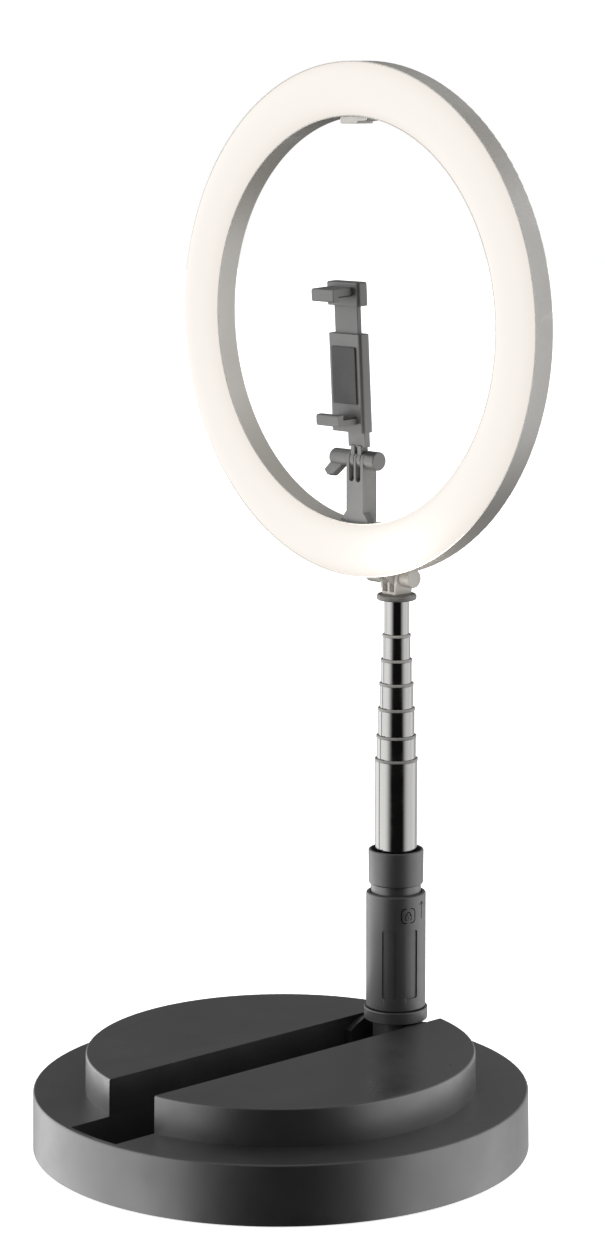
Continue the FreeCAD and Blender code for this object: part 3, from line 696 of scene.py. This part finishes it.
def make_floor(own):
    """A plain pale floor, bright enough that no edge shows against the background."""
    s = Shader("pale_floor")
    tone = s.mix(s.noise(0.6, 3.0), shade(own.floor, 0.985), shade(own.floor, 1.01))
    s.set(Base_Color=tone, Roughness=0.9, Emission_Color=WHITE, Emission_Strength=FLOOR_GLOW)
    mesh = bpy.data.meshes.new("floor")
    half = own.span / 2
    low = CAD_BOX[0][2]
    corners = [(-half, -half, low), (half, -half, low), (half, half, low), (-half, half, low)]
    mesh.from_pydata(corners, [], [(0, 1, 2, 3)])
    floor = show("floor", mesh)
    paint(floor, s.material)
    floor.visible_glossy = False
    floor.visible_diffuse = False


class Studio:
    """The soft lights that stand round the object, written as the world's node tree."""

    def __init__(self, name):
        self.world = bpy.data.worlds.new(name)
        self.world.use_nodes = True
        self.tree = self.world.node_tree
        self.back = self.tree.nodes["Background"]
        self.way = self.tree.nodes.new("ShaderNodeTexCoord").outputs["Generated"]
        level = self.vector("MULTIPLY", self.way, (1.0, 1.0, 0.0))
        self.level = self.vector("NORMALIZE", level)
        self.up = self.vector("DOT_PRODUCT", self.way, (0.0, 0.0, 1.0), "Value")
        above = self.fade(self.math("ABSOLUTE", self.up), PANEL_TOP[0], PANEL_TOP[1], 1.0)
        self.within = self.math("SUBTRACT", 1.0, above)
        self.total = None

    def vector(self, operation, first, second=None, output=0):
        """A working of a vector and, for some operations, a second fixed one."""
        node = self.tree.nodes.new("ShaderNodeVectorMath")
        node.operation = operation
        self.tree.links.new(first, node.inputs[0])
        if second is not None:
            node.inputs[1].default_value = second
        return node.outputs[output]

    def fade(self, value, start, end, power):
        """0 up to start, then a soft rise to power at end."""
        node = self.tree.nodes.new("ShaderNodeMapRange")
        node.interpolation_type = "SMOOTHSTEP"
        self.tree.links.new(value, node.inputs["Value"])
        node.inputs["From Min"].default_value = start
        node.inputs["From Max"].default_value = end
        node.inputs["To Max"].default_value = power
        return node.outputs["Result"]

    def math(self, operation, first, second=0.0):
        """A working of two values, each of them a number or a socket."""
        node = self.tree.nodes.new("ShaderNodeMath")
        node.operation = operation
        for socket, value in zip(node.inputs, (first, second)):
            if isinstance(value, bpy.types.NodeSocket):
                self.tree.links.new(value, socket)
            else:
                socket.default_value = value
        return node.outputs[0]

    def light(self, value):
        """Adds a light to the total."""
        self.total = value if self.total is None else self.math("ADD", self.total, value)

    def tall_softbox(self, degrees, core, edge, power):
        """A tall light at an angle round from the camera: full within core degrees, none past edge."""
        across = self.vector("DOT_PRODUCT", self.level, around_camera(degrees), "Value")
        panel = self.fade(across, math.cos(math.radians(edge)), math.cos(math.radians(core)), power)
        self.light(self.math("MULTIPLY", panel, self.within))

    def top_softbox(self, start, end, power):
        """A wide light overhead."""
        self.light(self.fade(self.up, start, end, power))

    def finish(self, scene):
        """Makes this the scene's world. The camera itself sees an even backdrop."""
        seen = self.tree.nodes.new("ShaderNodeLightPath").outputs["Is Camera Ray"]
        pick = self.tree.nodes.new("ShaderNodeMix")
        self.tree.links.new(seen, pick.inputs["Factor"])
        self.tree.links.new(self.math("ADD", self.total, STRAY_LIGHT), pick.inputs["A"])
        pick.inputs["B"].default_value = BACKDROP
        self.tree.links.new(pick.outputs["Result"], self.back.inputs["Strength"])
        self.back.inputs["Color"].default_value = WHITE
        scene.world = self.world


def make_background(scene):
    """The soft lights round the object, in front of an even white background."""
    studio = Studio("soft_studio")
    for panel in TALL_SOFTBOXES:
        studio.tall_softbox(*panel)
    studio.top_softbox(*TOP_SOFTBOX)
    studio.finish(scene)


def make_glow():
    """A small warm light that stands in for the lamp's own strong glow on the tilt hinge."""
    data = bpy.data.lights.new("glow_low", "POINT")
    data.color = GLOW_COLOUR
    data.energy = GLOW_POWER
    data.shadow_soft_size = GLOW_SIZE
    lamp = show("glow_low", data)
    lamp.location = Vector((0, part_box("diffuser")[0].y, TILT_AXIS.z)) + GLOW_OFFSET
    lamp.visible_camera = False
    lamp.visible_glossy = False


# ---- panel and start ----------------------------------------------------
OPERATORS = (RINGLIGHT_OT_base, RINGLIGHT_OT_pole, RINGLIGHT_OT_mast, RINGLIGHT_OT_hinges,
             RINGLIGHT_OT_lamp, RINGLIGHT_OT_clamp, RINGLIGHT_OT_stage)
LOOKS = {"base": BaseLook, "pole": PoleLook, "lamp": LampLook, "clamp": ClampLook,
         "stage": StageLook}


class RINGLIGHT_PT_pieces(bpy.types.Panel):
    """Lists the ring light's pieces in the sidebar"""

    bl_label = "Ring Light"
    bl_space_type = "VIEW_3D"
    bl_region_type = "UI"
    bl_category = "Ring Light"

    def draw(self, context):
        for operator in OPERATORS:
            self.layout.operator(operator.bl_idname)
        for name, group in LOOKS.items():
            box = self.layout.box()
            box.label(text=name.capitalize())
            for setting in group.__annotations__:
                box.prop(look(context, name), setting)


def register():
    for group in LOOKS.values():
        bpy.utils.register_class(group)
    for name, group in LOOKS.items():
        setattr(bpy.types.Scene, "ring_light_" + name, bpy.props.PointerProperty(type=group))
    for operator in OPERATORS:
        bpy.utils.register_class(operator)
    bpy.utils.register_class(RINGLIGHT_PT_pieces)


def unregister():
    bpy.utils.unregister_class(RINGLIGHT_PT_pieces)
    for operator in reversed(OPERATORS):
        bpy.utils.unregister_class(operator)
    for name, group in LOOKS.items():
        delattr(bpy.types.Scene, "ring_light_" + name)
        bpy.utils.unregister_class(group)


def main():
    register()
    bpy.ops.ringlight.base()
    bpy.ops.ringlight.pole()
    bpy.ops.ringlight.mast()
    bpy.ops.ringlight.hinges()
    bpy.ops.ringlight.lamp()
    bpy.ops.ringlight.clamp()
    bpy.ops.ringlight.stage()


if __name__ == "__main__":
    main()
